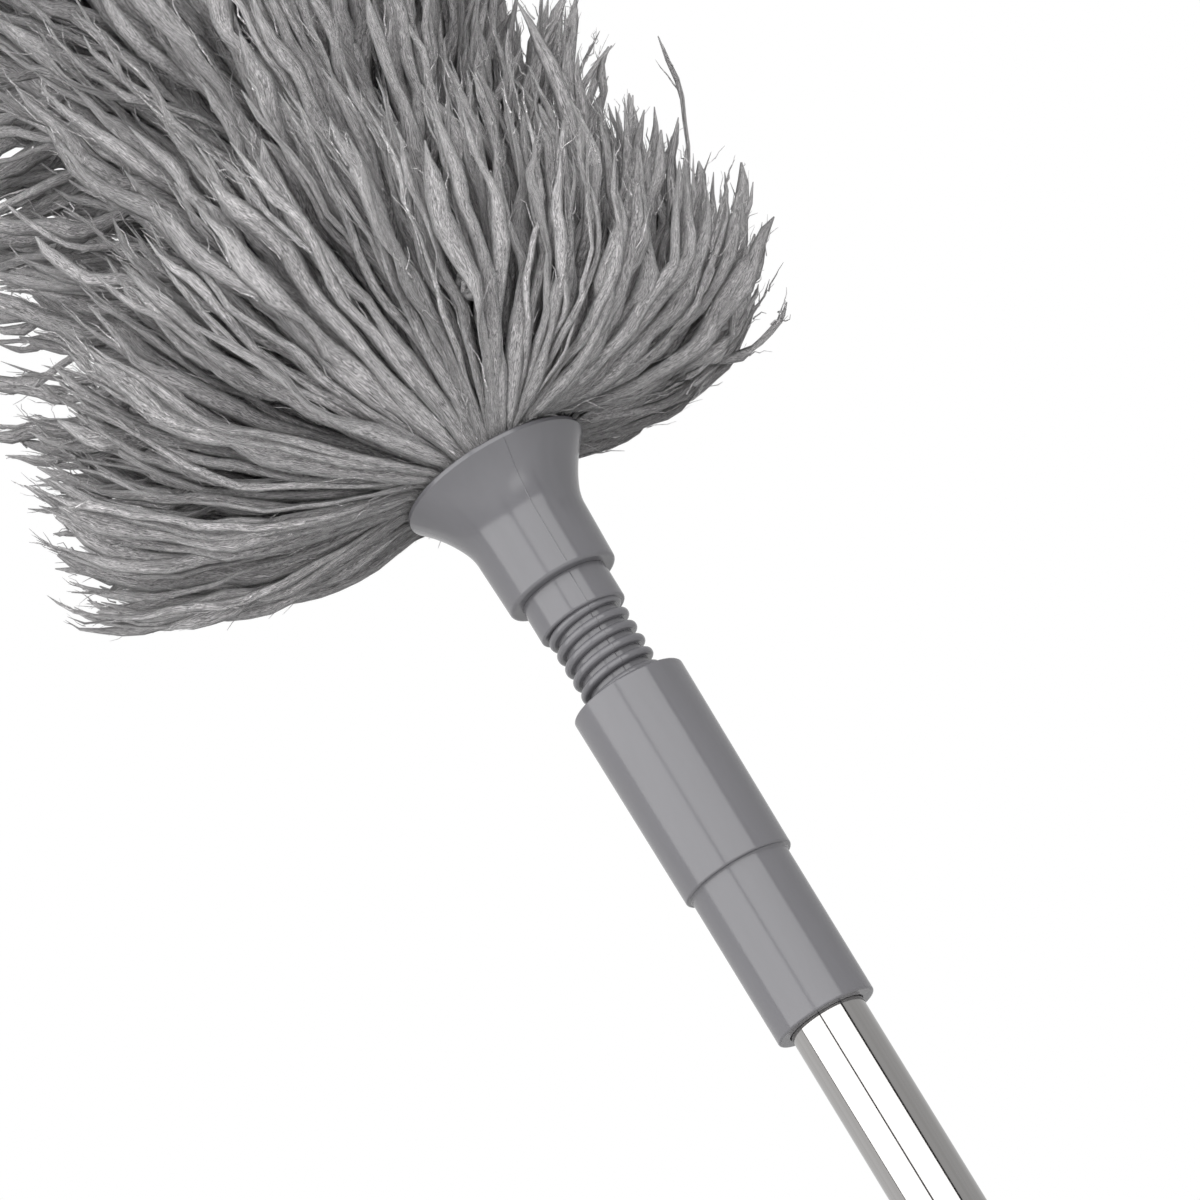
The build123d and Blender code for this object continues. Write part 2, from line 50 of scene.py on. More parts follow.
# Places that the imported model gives
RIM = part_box("flared_collar")[1].z
RIM_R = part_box("flared_collar")[1].x
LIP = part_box("flared_collar")[0].z
ADAPTER_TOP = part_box("pole_adapter")[1].z
CORE_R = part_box("core_cloth_sleeve")[1].x
CORE_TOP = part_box("core_tip_cap")[1].z
HEAD_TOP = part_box("pile_tip")[1].z
HEAD_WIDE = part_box("pile_ring_1")[1].x
HEAD_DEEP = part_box("pile_ring_1")[1].y
TIER_BOTTOMS = [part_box(f"pile_ring_{tier}")[0].z for tier in range(1, 6)]


# ---------------------------------------------------------------- materials


def new_material(name):
    """A node material, with its nodes, links and main shader."""
    material = bpy.data.materials.new(name)
    material.use_nodes = True
    tree = material.node_tree
    return material, tree.nodes, tree.links, tree.nodes["Principled BSDF"]


def place(nodes, links, scale, uv_map=None):
    """Texture coordinates stretched by scale, in object space or on a named UV map."""
    mapping = nodes.new("ShaderNodeMapping")
    mapping.inputs["Scale"].default_value = scale
    if uv_map:
        coordinates = nodes.new("ShaderNodeUVMap")
        coordinates.uv_map = uv_map
        links.new(coordinates.outputs["UV"], mapping.inputs["Vector"])
    else:
        coordinates = nodes.new("ShaderNodeTexCoord")
        links.new(coordinates.outputs["Object"], mapping.inputs["Vector"])
    return mapping.outputs["Vector"]


def noise(nodes, links, vector, scale, detail=3.0, roughness=0.5, distortion=0.0):
    """The value output of a noise texture."""
    texture = nodes.new("ShaderNodeTexNoise")
    texture.inputs["Scale"].default_value = scale
    texture.inputs["Detail"].default_value = detail
    texture.inputs["Roughness"].default_value = roughness
    texture.inputs["Distortion"].default_value = distortion
    links.new(vector, texture.inputs["Vector"])
    return texture.outputs["Fac"]


def ramp(nodes, links, value, *stops):
    """Colours read off a ramp; each stop is (position, colour)."""
    node = nodes.new("ShaderNodeValToRGB")
    elements = node.color_ramp.elements
    while len(elements) < len(stops):
        elements.new(0.5)
    for element, (position, colour) in zip(elements, stops):
        element.position = position
        element.color = (*colour, 1)
    links.new(value, node.inputs["Fac"])
    return node.outputs["Color"]


def spread(nodes, links, value, low, high):
    """A value from 0 to 1 mapped to low to high."""
    node = nodes.new("ShaderNodeMapRange")
    node.inputs["To Min"].default_value = low
    node.inputs["To Max"].default_value = high
    links.new(value, node.inputs["Value"])
    return node.outputs["Result"]


def multiply(nodes, links, first, second):
    """Two colours multiplied."""
    node = nodes.new("ShaderNodeMix")
    node.data_type = "RGBA"
    node.blend_type = "MULTIPLY"
    node.inputs["Factor"].default_value = 1
    colours = [socket for socket in node.inputs if socket.type == "RGBA"]
    links.new(first, colours[0])
    links.new(second, colours[1])
    return next(socket for socket in node.outputs if socket.type == "RGBA")


def bump(nodes, links, shader, height, strength, distance):
    """Bump from a height value, laid over any bump that the shader already has."""
    node = nodes.new("ShaderNodeBump")
    node.inputs["Strength"].default_value = strength
    node.inputs["Distance"].default_value = distance
    links.new(height, node.inputs["Height"])
    for link in list(shader.inputs["Normal"].links):
        links.new(link.from_socket, node.inputs["Normal"])
    links.new(node.outputs["Normal"], shader.inputs["Normal"])


PLAIN = (1.0, 1.0, 1.0)
COOL = (1.0, 0.982, 1.055)
SOFT = (1.015, 0.985, 0.995)


def grey(level, tint=PLAIN):
    """A near-neutral grey with a slight tint."""
    return tuple(level * part for part in tint)


def moulded_plastic(name, level, roughness, grain=0.0, specks=False):
    """Injection-moulded polypropylene: faint flow marks, a soft orange-peel gloss and a few dark specks."""
    material, nodes, links, shader = new_material(name)
    flow = noise(nodes, links, place(nodes, links, (90, 90, 12)), 1.0, 4, 0.55, 0.4)
    colour = ramp(nodes, links, flow, (0.3, grey(level * 0.94, COOL)), (0.7, grey(level * 1.05, COOL)))
    if specks:
        cells = nodes.new("ShaderNodeTexVoronoi")
        cells.inputs["Scale"].default_value = 62
        links.new(place(nodes, links, (1, 1, 0.6)), cells.inputs["Vector"])
        spots = ramp(nodes, links, cells.outputs["Distance"], (0.018, grey(0.12)), (0.034, grey(1.0)))
        colour = multiply(nodes, links, colour, spots)
    links.new(colour, shader.inputs["Base Color"])
    wear = noise(nodes, links, place(nodes, links, (60, 60, 25)), 1.0, 5)
    links.new(spread(nodes, links, wear, roughness * 0.75, roughness * 1.3), shader.inputs["Roughness"])
    peel = noise(nodes, links, place(nodes, links, (420, 420, 420)), 1.0, 2)
    bump(nodes, links, shader, peel, 0.05, 0.2 * MM)
    if grain:
        leather = nodes.new("ShaderNodeTexVoronoi")
        leather.inputs["Scale"].default_value = 900
        links.new(place(nodes, links, (1, 1, 1)), leather.inputs["Vector"])
        bump(nodes, links, shader, leather.outputs["Distance"], grain, 0.2 * MM)
    shader.inputs["IOR"].default_value = 1.58
    return material


def stainless(name):
    """Rolled stainless tube: bright, with fine lines drawn along its length."""
    material, nodes, links, shader = new_material(name)
    shader.inputs["Metallic"].default_value = 1
    drawn = noise(nodes, links, place(nodes, links, (1500, 1500, 5)), 1.0, 3)
    tint = ramp(nodes, links, drawn, (0.25, (0.42, 0.41, 0.40)), (0.75, (0.49, 0.48, 0.475)))
    links.new(tint, shader.inputs["Base Color"])
    smear = noise(nodes, links, place(nodes, links, (110, 110, 9)), 1.0, 4)
    links.new(spread(nodes, links, smear, 0.03, 0.1), shader.inputs["Roughness"])
    bump(nodes, links, shader, drawn, 0.02, 0.05 * MM)
    return material


def wire_steel(name):
    """Drawn wire and pins: darker steel with fine scratches."""
    material, nodes, links, shader = new_material(name)
    shader.inputs["Metallic"].default_value = 1
    scratch = noise(nodes, links, place(nodes, links, (900, 900, 60)), 1.0, 4)
    tint = ramp(nodes, links, scratch, (0.3, (0.36, 0.35, 0.34)), (0.7, (0.56, 0.55, 0.54)))
    links.new(tint, shader.inputs["Base Color"])
    links.new(spread(nodes, links, scratch, 0.25, 0.45), shader.inputs["Roughness"])
    bump(nodes, links, shader, scratch, 0.1, 0.05 * MM)
    return material


def woven_backing(name):
    """The narrow backing cloth that the strands are stitched to: a plain weave."""
    material, nodes, links, shader = new_material(name)
    threads = []
    for direction, scale in (("Z", 900), ("DIAGONAL", 700)):
        wave = nodes.new("ShaderNodeTexWave")
        wave.bands_direction = direction
        wave.inputs["Scale"].default_value = scale
        wave.inputs["Distortion"].default_value = 1.5
        links.new(place(nodes, links, (1, 1, 1)), wave.inputs["Vector"])
        threads.append(wave.outputs["Color"])
    weave = multiply(nodes, links, *threads)
    links.new(ramp(nodes, links, weave, (0.0, grey(0.10)), (1.0, grey(0.26))), shader.inputs["Base Color"])
    bump(nodes, links, shader, weave, 0.5, 0.2 * MM)
    shader.inputs["Roughness"].default_value = 0.9
    return material


def microfibre(name):
    """Brushed microfibre: fine lines along each strand with painted shade in their troughs, and painted
    shade at each lock's root and thin edges from a colour attribute.
    """
    material, nodes, links, shader = new_material(name)
    fine = noise(nodes, links, place(nodes, links, (4.2, 0.36, 1), uv_map="fibre"), 1.0, 5, 0.66, 1.8)
    broad = noise(nodes, links, place(nodes, links, (0.6, 0.06, 1), uv_map="fibre"), 1.0, 2, 0.5, 0.6)
    # Painted shade: the fine lines are the fibres' own grain, but their darkest troughs are painted shade.
    fibre_lines_and_trough_shade = ((0.37, grey(0.09, SOFT)), (0.5, grey(0.32, SOFT)), (0.61, grey(0.66, SOFT)))
    lines = ramp(nodes, links, fine, *fibre_lines_and_trough_shade)
    patches = ramp(nodes, links, broad, (0.3, grey(0.82)), (0.7, grey(1.0)))
    # This colour attribute holds a random tone per lock, plus painted shade at the roots and thin edges of
    # the locks.
    shade = nodes.new("ShaderNodeAttribute")
    shade.attribute_name = "tone_and_painted_shade"
    colour = multiply(nodes, links, multiply(nodes, links, lines, patches), shade.outputs["Color"])
    links.new(colour, shader.inputs["Base Color"])
    bump(nodes, links, shader, broad, 0.5, 0.8 * MM)
    bump(nodes, links, shader, fine, 0.9, 0.5 * MM)
    shader.inputs["Roughness"].default_value = 0.85
    shader.inputs["Sheen Weight"].default_value = 0.45
    shader.inputs["Sheen Roughness"].default_value = 0.5
    return material


GREY_PLASTIC = moulded_plastic("grey_plastic_smooth", 0.132, 0.17)
SPECKLED_PLASTIC = moulded_plastic("grey_plastic_speckled", 0.135, 0.17, specks=True)
GRIP_PLASTIC = moulded_plastic("grey_plastic_grained", 0.115, 0.4, grain=0.35)
LOCK_PLASTIC = moulded_plastic("lock_plastic_white", 0.62, 0.45)
STAINLESS = stainless("stainless_drawn")
WIRE = wire_steel("wire_steel")
BACKING = woven_backing("backing_weave")
MICROFIBRE = microfibre("microfibre_strands")

FINISHES = {
    "handle_end_cap": GREY_PLASTIC,
    "handle_grip": GRIP_PLASTIC,
    "lower_ferrule": GREY_PLASTIC,
    "middle_ferrule": GREY_PLASTIC,
    "pole_adapter": SPECKLED_PLASTIC,
    "flared_collar": GREY_PLASTIC,
    "threaded_plug": GREY_PLASTIC,
    "core_rod": GREY_PLASTIC,
    "core_tip_cap": GREY_PLASTIC,
    "lower_tube": STAINLESS,
    "middle_tube": STAINLESS,
    "top_tube": STAINLESS,
    "core_pin": WIRE,
    "pile_clamp_ring": WIRE,
    "core_cloth_sleeve": BACKING,
}


def finish_cad_nodes():
    """Give every node of the frame its material; the locks and plugs share one."""
    for name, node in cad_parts.items():
        material = FINISHES.get(name, LOCK_PLASTIC)
        if not node.data.materials:
            node.data.materials.append(material)
        for slot in node.material_slots:
            slot.material = material


# ---------------------------------------------------------------- mould seams

SEAM_AZIMUTH = math.radians(-74)
SEAM_WIDE = 0.34 * MM
SEAM_HIGH = 0.16 * MM
SEAM_SUNK = 0.08 * MM


def make_seam(name, node, body, azimuth, low, high, steps):
    """A thin raised parting line down the outside of a node, following its surface."""
    outward = Vector((math.cos(azimuth), math.sin(azimuth), 0))
    across = Vector((-outward.y, outward.x, 0))
    points = []
    for step in range(steps + 1):
        height = low + (high - low) * step / steps
        start = outward * 0.2 + Vector((0, 0, height))
        hit, place_hit, _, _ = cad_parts[node].ray_cast(start, -outward)
        if hit:
            points.append(place_hit)
    vertices = []
    for point in points:
        vertices.append(point - across * SEAM_WIDE / 2 - outward * SEAM_SUNK)
        vertices.append(point + outward * SEAM_HIGH)
        vertices.append(point + across * SEAM_WIDE / 2 - outward * SEAM_SUNK)
    faces = [(0, 1, 2), tuple(3 * (len(points) - 1) + corner for corner in (2, 1, 0))]
    for step in range(len(points) - 1):
        for side in range(3):
            a = 3 * step + side
            b = 3 * step + (side + 1) % 3
            faces.append((a, a + 3, b + 3, b))
    mesh = bpy.data.meshes.new(name)
    mesh.from_pydata(vertices, [], faces)
    mesh.materials.append(GREY_PLASTIC)
    seam = bpy.data.objects.new(name, mesh)
    bpy.context.scene.collection.objects.link(seam)
    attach(seam, body)


# ---------------------------------------------------------------- strands

RING = 6
STEPS = 22
HAIR_STEPS = 5
STRAND_LENGTH = 96 * MM
RIM_STRAND = STRAND_LENGTH - 3 * MM
WOBBLE = 2.5 * MM
RIM_LOCKS = 740
RIM_FIBRES = 5200
TIER_LOCKS = 380
TIER_FIBRES = 3300
LOCK_WIDE = (1.8 * MM, 6.4 * MM)
LOCK_THICK = 0.32
ROOT_R = RIM_R - 13 * MM
RIM_PASS_R = RIM_R - 3.6 * MM
RIM_CLEAR = 1.7 * MM
GOLDEN = 0.618034


def bezier(points, steps):
    """Points along Bezier curves; points is (curves, control points, 3)."""
    degree = points.shape[1] - 1
    t = np.linspace(0, 1, steps)
    weights = [math.comb(degree, k) * t**k * (1 - t) ** (degree - k) for k in range(degree + 1)]
    return np.einsum("kt,ckd->ctd", np.array(weights), points)


def unit(vectors):
    """Vectors scaled to length 1."""
    return vectors / np.maximum(np.linalg.norm(vectors, axis=-1, keepdims=True), 1e-9)


def around(angles):
    """Unit vectors in the horizontal plane."""
    return np.stack([np.cos(angles), np.sin(angles), np.zeros_like(angles)], -1)


def lean(azimuths, angles):
    """Unit vectors at these angles from straight up."""
    return around(azimuths) * np.sin(angles)[:, None] + np.array([0, 0, 1]) * np.cos(angles)[:, None]


def sideness(azimuths):
    """1 at the wide sides of the head and 0 at its front and back."""
    return np.abs(np.cos(azimuths))


def wobble(paths, amount):
    """Slow random waves across each path, growing from nothing at its root."""
    count, steps = paths.shape[:2]
    t = np.linspace(0, 1, steps)
    grown = amount * np.clip((t - 0.12) / 0.5, 0, 1) ** 1.3
    moved = paths.copy()
    for waves in (1.1, 2.3, 3.9, 6.7):
        phase = rng.uniform(0, 2 * math.pi, (count, 1, 3))
        size = rng.uniform(0.3, 1.0, (count, 1, 3)) / waves
        moved += size * np.sin(2 * math.pi * waves * t[None, :, None] + phase) * grown[None, :, None]
    return moved


def held_in(points):
    """Points drawn in gently where they stand too far out to the sides, front or back."""
    kept = points.copy()
    for axis, free, room in ((0, HEAD_WIDE + 3 * MM, 11 * MM), (1, HEAD_DEEP - 4 * MM, 15 * MM)):
        past = np.maximum(np.abs(points[..., axis]) - free, 0)
        drawn = np.minimum(np.abs(points[..., axis]), free) + room * np.tanh(past / room)
        kept[..., axis] = np.sign(points[..., axis]) * drawn
    return kept


def flattened(azimuths):
    """Directions round the head, drawn towards its wide sides as its outline is."""
    return np.arctan2(HEAD_DEEP * np.sin(azimuths), HEAD_WIDE * np.cos(azimuths))


def rim_curves(azimuths, layer, chord, length):
    """Strands bound inside the bell: up, over or past its rim, then curving out to their tips.

    Layer is 0 in the outermost strands and 1 in those next to the core.
    """
    side = sideness(azimuths) ** 0.8
    over = side * (1 - layer)
    on_right = np.clip(np.cos(azimuths) * 2, 0, 1)
    fan = flattened(azimuths)
    root = around(azimuths) * (ROOT_R * (1 - 0.2 * layer))[:, None]
    root[:, 2] = RIM - 10 * MM
    radius = RIM_PASS_R * (1 - 0.5 * layer) + (RIM_R + 1.2 * MM - RIM_PASS_R) * over
    passing = around(azimuths) * radius[:, None]
    passing[:, 2] = RIM + RIM_CLEAR + 5 * MM * layer + 0.6 * MM * over
    tip = passing + lean(fan, chord) * length[:, None]
    start = lean(fan, chord + np.radians(8) + np.radians(12 + 14 * on_right) * over)
    end = lean(fan, chord - np.radians(14) - np.radians(16 + 14 * on_right) * over)
    bend = passing * (0.93 - 0.15 * over)[:, None]
    bend[:, 2] = RIM - 5 * MM + 7 * MM * over
    stem = bezier(np.stack([root, bend, passing - start * 1.2 * MM], 1), 5)[:, :-1]
    lift, fall = start * length[:, None] * 0.4, end * length[:, None] * 0.36
    arc = np.stack([passing, passing + lift, tip - fall, tip], 1)
    return np.concatenate([stem, bezier(arc, STEPS - 4)], 1)


def rim_paths(count):
    """The lowest tier, fanned out from hanging to upright, and longer on its left than on its right."""
    azimuths = 2 * math.pi * (np.arange(count) * GOLDEN % 1) + rng.normal(0, 0.05, count)
    layer = rng.uniform(0, 1, count) ** 1.15
    side = sideness(azimuths) ** 0.8
    on_right = np.clip(np.cos(azimuths) * 2, 0, 1)
    outer = np.radians(23 + 53 * side + 9 * on_right)
    chord = outer * (1 - layer) + np.radians(6) * layer + rng.normal(0, 0.05, count)
    shorter = side * (1 - layer) ** (2.6 - 1.6 * on_right) * (9 + 25 * on_right) * MM
    length = (RIM_STRAND - shorter) * rng.uniform(0.88, 1.05, count)
    return rim_curves(azimuths, layer, chord, length)


def stray_paths():
    """A few long strands that stand out of the head's outline, by azimuth, angle from upright and length."""
    strays = [(0, 43, 98), (-20, 85, 68), (15, 62, 78), (185, 76, 84)]
    strays += [(172, 60, 84), (-35, 30, 96), (200, 40, 92)]
    azimuth, chord, length = np.array(strays, float).T
    return rim_curves(np.radians(azimuth), np.full(len(strays), 0.15), np.radians(chord), length * MM)


def knot_paths():
    """Yarn ends tangled into a small ball on the front of the head, just above the collar."""
    t = np.linspace(0, 1, STEPS)
    coils = []
    for turns, tilt in ((2.2, 0.0), (1.7, 1.1), (2.6, 2.1)):
        angles = 2 * math.pi * turns * t + tilt
        swing = np.sin(angles)
        ball = np.stack([np.cos(angles), swing * math.cos(tilt), swing * math.sin(tilt)], -1)
        coils.append(ball * 2.2 * MM + [19.7 * MM, -0.8 * HEAD_DEEP, RIM + 28 * MM])
    return np.array(coils)


def core_paths(count, low, high):
    """Strands stitched to the core between two heights: out, then up and over the strands below."""
    azimuths = rng.uniform(0, 2 * math.pi, count)
    layer = rng.uniform(0, 1, count) ** 1.6
    side = sideness(azimuths)
    root = around(azimuths) * (CORE_R + 0.4 * MM)
    root[:, 2] = rng.uniform(low, high, count)
    length = STRAND_LENGTH * rng.uniform(0.85, 1.08, count)
    share = (root[:, 2] - RIM) / (CORE_TOP - RIM)
    crown = np.clip((share - 0.72) / 0.28, 0, 1)
    spread_out = (0.92 - 0.5 * layer) * (1 - 0.45 * crown * rng.uniform(0, 1, count))
    wide = np.where(np.cos(azimuths) < 0, 1.2, 0.96) * HEAD_WIDE
    deep = 1.18 * HEAD_DEEP
    tip = np.stack([wide * np.cos(azimuths), deep * np.sin(azimuths), np.zeros(count)], -1)
    tip *= (spread_out * rng.uniform(0.94, 1.05, count))[:, None]
    reach = np.linalg.norm(tip[:, :2], axis=1)
    climb = np.sqrt(np.maximum(length**2 - reach**2, (20 * MM) ** 2)) * rng.uniform(0.75, 1.0, count)
    edge = np.linalg.norm(tip[:, :2] / [HEAD_WIDE, HEAD_DEEP], axis=1)
    dome = HEAD_TOP - 5 * MM - 34 * MM * edge**2 - rng.uniform(0, 10 * MM, count)
    tip[:, 2] = np.minimum(root[:, 2] + climb, dome)
    start = lean(azimuths, np.radians(84 - 60 * crown - 25 * layer) + rng.normal(0, 0.12, count))
    rest = np.radians(12 + 34 * side) * (1 - crown) + np.radians(88) * crown
    end = lean(azimuths, rest + rng.normal(0, 0.14, count))
    fan = np.stack([root, root + start * length[:, None] * 0.38, tip - end * length[:, None] * 0.36, tip], 1)
    return bezier(fan, STEPS)


def strand_frames(paths, turns):
    """Directions across and out of each strand, slowly twisting along it."""
    count, steps = paths.shape[:2]
    along = unit(np.gradient(paths, axis=1))
    facing = paths * [1 / HEAD_WIDE**2, 1 / HEAD_DEEP**2, 0] + [0, 0, 1e-3]
    across = unit(np.cross(along, unit(facing)))
    out = np.cross(across, along)
    t = np.linspace(0, 1, steps)
    start = rng.normal(0, 0.3, (count, 1))
    sway = 0.3 * np.sin(2 * math.pi * (1.7 * t + rng.uniform(0, 1, (count, 1))))
    twist = start + turns[:, None] * (t - 0.2) + sway
    turn, lift = np.cos(twist)[..., None], np.sin(twist)[..., None]
    return across * turn + out * lift, out * turn - across * lift


def lock_widths(widths, steps):
    """Half widths and half thicknesses along each lock, pinched where its yarn was twisted."""
    count = len(widths)
    t = np.linspace(0, 1, steps)[None, :]
    waves = rng.uniform(1.2, 2.6, (count, 1))
    pinch = (0.5 + 0.5 * np.cos(2 * math.pi * (waves * t + rng.uniform(0, 1, (count, 1))))) ** 3
    pinch *= rng.uniform(0.15, 0.6, (count, 1)) * np.clip(t / 0.3, 0, 1)
    swell = 0.45 + 0.55 * np.clip(t / 0.35, 0, 1) ** 0.8
    taper = np.clip((1.003 - t) / rng.uniform(0.07, 0.22, (count, 1)), 0, 1) ** 0.6
    wide = widths[:, None] / 2 * swell * taper * (1 - pinch)
    thick = widths[:, None] / 2 * LOCK_THICK * swell * taper * (1 + 0.25 * pinch)
    return wide, np.minimum(thick, wide)


def ring_quads(count, steps, ring):
    """Corner numbers for the sides and end caps of many closed tubes."""
    step, side = np.meshgrid(np.arange(steps - 1), np.arange(ring), indexing="ij")
    following = (side + 1) % ring
    sides = np.stack([step * ring + side, step * ring + following, (step + 1) * ring + following,
                      (step + 1) * ring + side], -1).reshape(-1, 4)
    half = ring // 2
    first = [[k, ring - 1 - k, ring - 2 - k, k + 1] for k in range(half - 1)]
    last = [[k + 1, ring - 2 - k, ring - 1 - k, k] for k in range(half - 1)]
    one = np.concatenate([sides, first, np.array(last) + (steps - 1) * ring])
    return (one[None] + (np.arange(count) * steps * ring)[:, None, None]).reshape(-1, 4), len(one)


def build_mesh(name, points, quads, uv, tone_and_painted_shade):
    """A quad mesh with a UV map named fibre, and a colour attribute of random tone and painted shade on its
    points.
    """
    mesh = bpy.data.meshes.new(name)
    mesh.vertices.add(len(points))
    mesh.vertices.foreach_set("co", points.astype(np.float32).ravel())
    mesh.loops.add(quads.size)
    mesh.loops.foreach_set("vertex_index", quads.astype(np.int32).ravel())
    mesh.polygons.add(len(quads))
    mesh.polygons.foreach_set("loop_start", np.arange(0, quads.size, 4, dtype=np.int32))
    mesh.update(calc_edges=True)
    mesh.polygons.foreach_set("use_smooth", np.ones(len(quads), bool))
    layer = mesh.uv_layers.new(name="fibre")
    layer.data.foreach_set("uv", uv.astype(np.float32).ravel())
    shade = mesh.color_attributes.new("tone_and_painted_shade", "FLOAT_COLOR", "POINT")
    colours = np.repeat(tone_and_painted_shade[:, None], 4, 1)
    colours[:, 3] = 1
    shade.data.foreach_set("color", colours.astype(np.float32).ravel())
    mesh.materials.append(MICROFIBRE)
    return mesh


def tube_mesh(name, rings, tones_and_painted_shade, girth, lengths):
    """Closed tubes from their rings, with the fibre map in millimetres round and along each tube."""
    count, steps, ring = rings.shape[:3]
    quads, per_tube = ring_quads(count, steps, ring)
    u = np.arange(ring + 1) / ring
    v = np.linspace(0, 1, steps)
    corner_u = np.concatenate([np.tile(np.stack([u[:-1], u[1:], u[1:], u[:-1]], -1), (steps - 1, 1)),
                               np.zeros((per_tube - (steps - 1) * ring, 4))])
    corner_v = np.concatenate([np.repeat(np.stack([v[:-1], v[:-1], v[1:], v[1:]], -1), ring, 0),
                               np.zeros((per_tube - (steps - 1) * ring, 4))])
    shift = rng.uniform(0, 400, (count, 1, 1, 2))
    uv = np.stack([corner_u[None] * girth[:, None, None], corner_v[None] * lengths[:, None, None]], -1) / MM
    return build_mesh(name, rings.reshape(-1, 3), quads, (uv + shift).reshape(-1, 2), tones_and_painted_shade.ravel())


def lock_rings(paths, across, out, wide, thick):
    """Lens-shaped rings round each path, with a little fibre relief."""
    angles = 2 * math.pi * np.arange(RING) / RING
    flat = np.cos(angles)
    crown = np.sin(angles) * np.abs(np.sin(angles)) ** 0.4
    relief = 1 + rng.normal(0, 0.09, (*paths.shape[:2], RING))
    ring_across = across[:, :, None] * (wide[..., None] * flat * relief)[..., None]
    ring_out = out[:, :, None] * (thick[..., None] * crown * relief)[..., None]
    return paths[:, :, None] + ring_across + ring_out


def hair_rings(locks, count, start, share, lift, loose):
    """Fine fibres that follow a lock's surface for a while, then stand off it."""
    paths, across, out, wide, thick = locks
    strands, steps = paths.shape[:2]
    which = rng.integers(0, strands, count)
    begin = rng.uniform(*start, (count, 1))
    share = rng.uniform(*share, (count, 1))
    t = np.linspace(0, 1, HAIR_STEPS)[None]
    position = np.clip(begin + share * t, 0, 1.0) * (steps - 1)
    below = np.minimum(position.astype(int), steps - 2)
    part = position - below

    def follow(values):
        low, high = values[which[:, None], below], values[which[:, None], below + 1]
        blend_by = part[..., None] if values.ndim == 3 else part
        return low * (1 - blend_by) + high * blend_by

    centre, side, normal = follow(paths), follow(across), follow(out)
    ahead = unit(paths[which, -1] - paths[which, -3])
    over = np.maximum(begin + share * t - 1, 0) * STRAND_LENGTH
    angle = rng.uniform(0, 2 * math.pi, (count, 1))
    stand = 1.02 + lift * np.minimum(rng.exponential(1.0, (count, 1)), 2.5) * t**2
    drift = rng.normal(0, loose, (count, 1, 3)) * (t**1.5)[..., None]
    drift = drift + rng.normal(0, 0.3 * MM, (count, HAIR_STEPS, 3))
    spine = centre + ahead[:, None] * over[..., None] + drift
    spine += side * (np.cos(angle) * follow(wide) * stand)[..., None]
    spine += normal * (np.sin(angle) * follow(thick) * stand)[..., None]
    radius = rng.uniform(0.1, 0.26, (count, 1)) * MM * (1.05 - 0.8 * t**1.5)
    along = unit(np.gradient(spine, axis=1))
    first = unit(np.cross(along, unit(rng.normal(0, 1, (count, 1, 3)))))
    second = np.cross(along, first)
    corners = 2 * math.pi * np.arange(4) / 4
    rings = spine[:, :, None] + first[:, :, None] * (radius[..., None] * np.cos(corners))[..., None]
    return rings + second[:, :, None] * (radius[..., None] * np.sin(corners))[..., None]


def add_piece(name, mesh, replaced=()):
    """Put a strand mesh on the head, in place of the plain solids that it replaces."""
    piece = bpy.data.objects.new(name, mesh)
    bpy.context.scene.collection.objects.link(piece)
    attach(piece, "head")
    if replaced:
        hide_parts(*replaced)


def make_tier(name, paths, hairs, replaced):
    """One tier of the pile: its locks, and the loose fibres on them."""
    count = len(paths)
    paths = wobble(paths, WOBBLE)
    turns = rng.normal(0, 1.6, count)
    across, out = strand_frames(paths, turns)
    widths = rng.uniform(*LOCK_WIDE, count)
    wide, thick = lock_widths(widths, STEPS)
    rings = held_in(lock_rings(paths, across, out, wide, thick))
    t = np.linspace(0, 1, STEPS)
    # Painted shade: each lock is darker towards its root and along its thin edges, where the locks around it
    # shade it; the rest of its tone varies at random.
    painted_root_shade = 0.55 + 0.45 * np.clip(t / 0.35, 0, 1)
    painted_edge_shade = 1.08 - 0.5 * np.abs(np.cos(2 * math.pi * np.arange(RING) / RING)) ** 3
    tones_and_painted_shade = rng.uniform(0.84, 1.18, (count, 1, 1)) * painted_root_shade[None, :, None] * painted_edge_shade[None, None, :]
    girth = widths * 2.2
    lengths = np.full(count, STRAND_LENGTH)
    add_piece(f"{name}_locks", tube_mesh(f"{name}_locks", rings, tones_and_painted_shade, girth, lengths), replaced)
    locks = (paths, across, out, wide, thick)
    on_locks = hair_rings(locks, hairs * 2 // 3, (0.1, 0.9), (0.05, 0.14), 0.9, 1.3 * MM)
    at_tips = hair_rings(locks, hairs // 3, (0.86, 0.97), (0.03, 0.08), 0.7, 1.3 * MM)
    fibres = held_in(np.concatenate([on_locks, at_tips]))
    bright = np.broadcast_to(rng.uniform(0.9, 1.7, (len(fibres), 1, 1)), fibres.shape[:3])
    sizes = np.full(len(fibres), 0.5 * MM)
    reach = np.full(len(fibres), 16 * MM)
    add_piece(f"{name}_fibres", tube_mesh(f"{name}_fibres", fibres, bright, sizes, reach))


def make_pile():
    """The whole head of strands, tier by tier from the collar to the tip."""
    rim = np.concatenate([rim_paths(RIM_LOCKS), stray_paths(), knot_paths()])
    make_tier("pile_rim", rim, RIM_FIBRES, ["pile_root", "pile_ring_1"])
    edges = [RIM + 12 * MM, *TIER_BOTTOMS[1:], CORE_TOP - 4 * MM]
    for tier, (low, high) in enumerate(zip(edges[:-1], edges[1:]), start=2):
        replaced = [f"pile_ring_{tier}"] if tier <= len(TIER_BOTTOMS) else ["pile_tip"]
        make_tier(f"pile_tier_{tier}", core_paths(TIER_LOCKS, low, high), TIER_FIBRES, replaced)


# ---------------------------------------------------------------- studio and camera

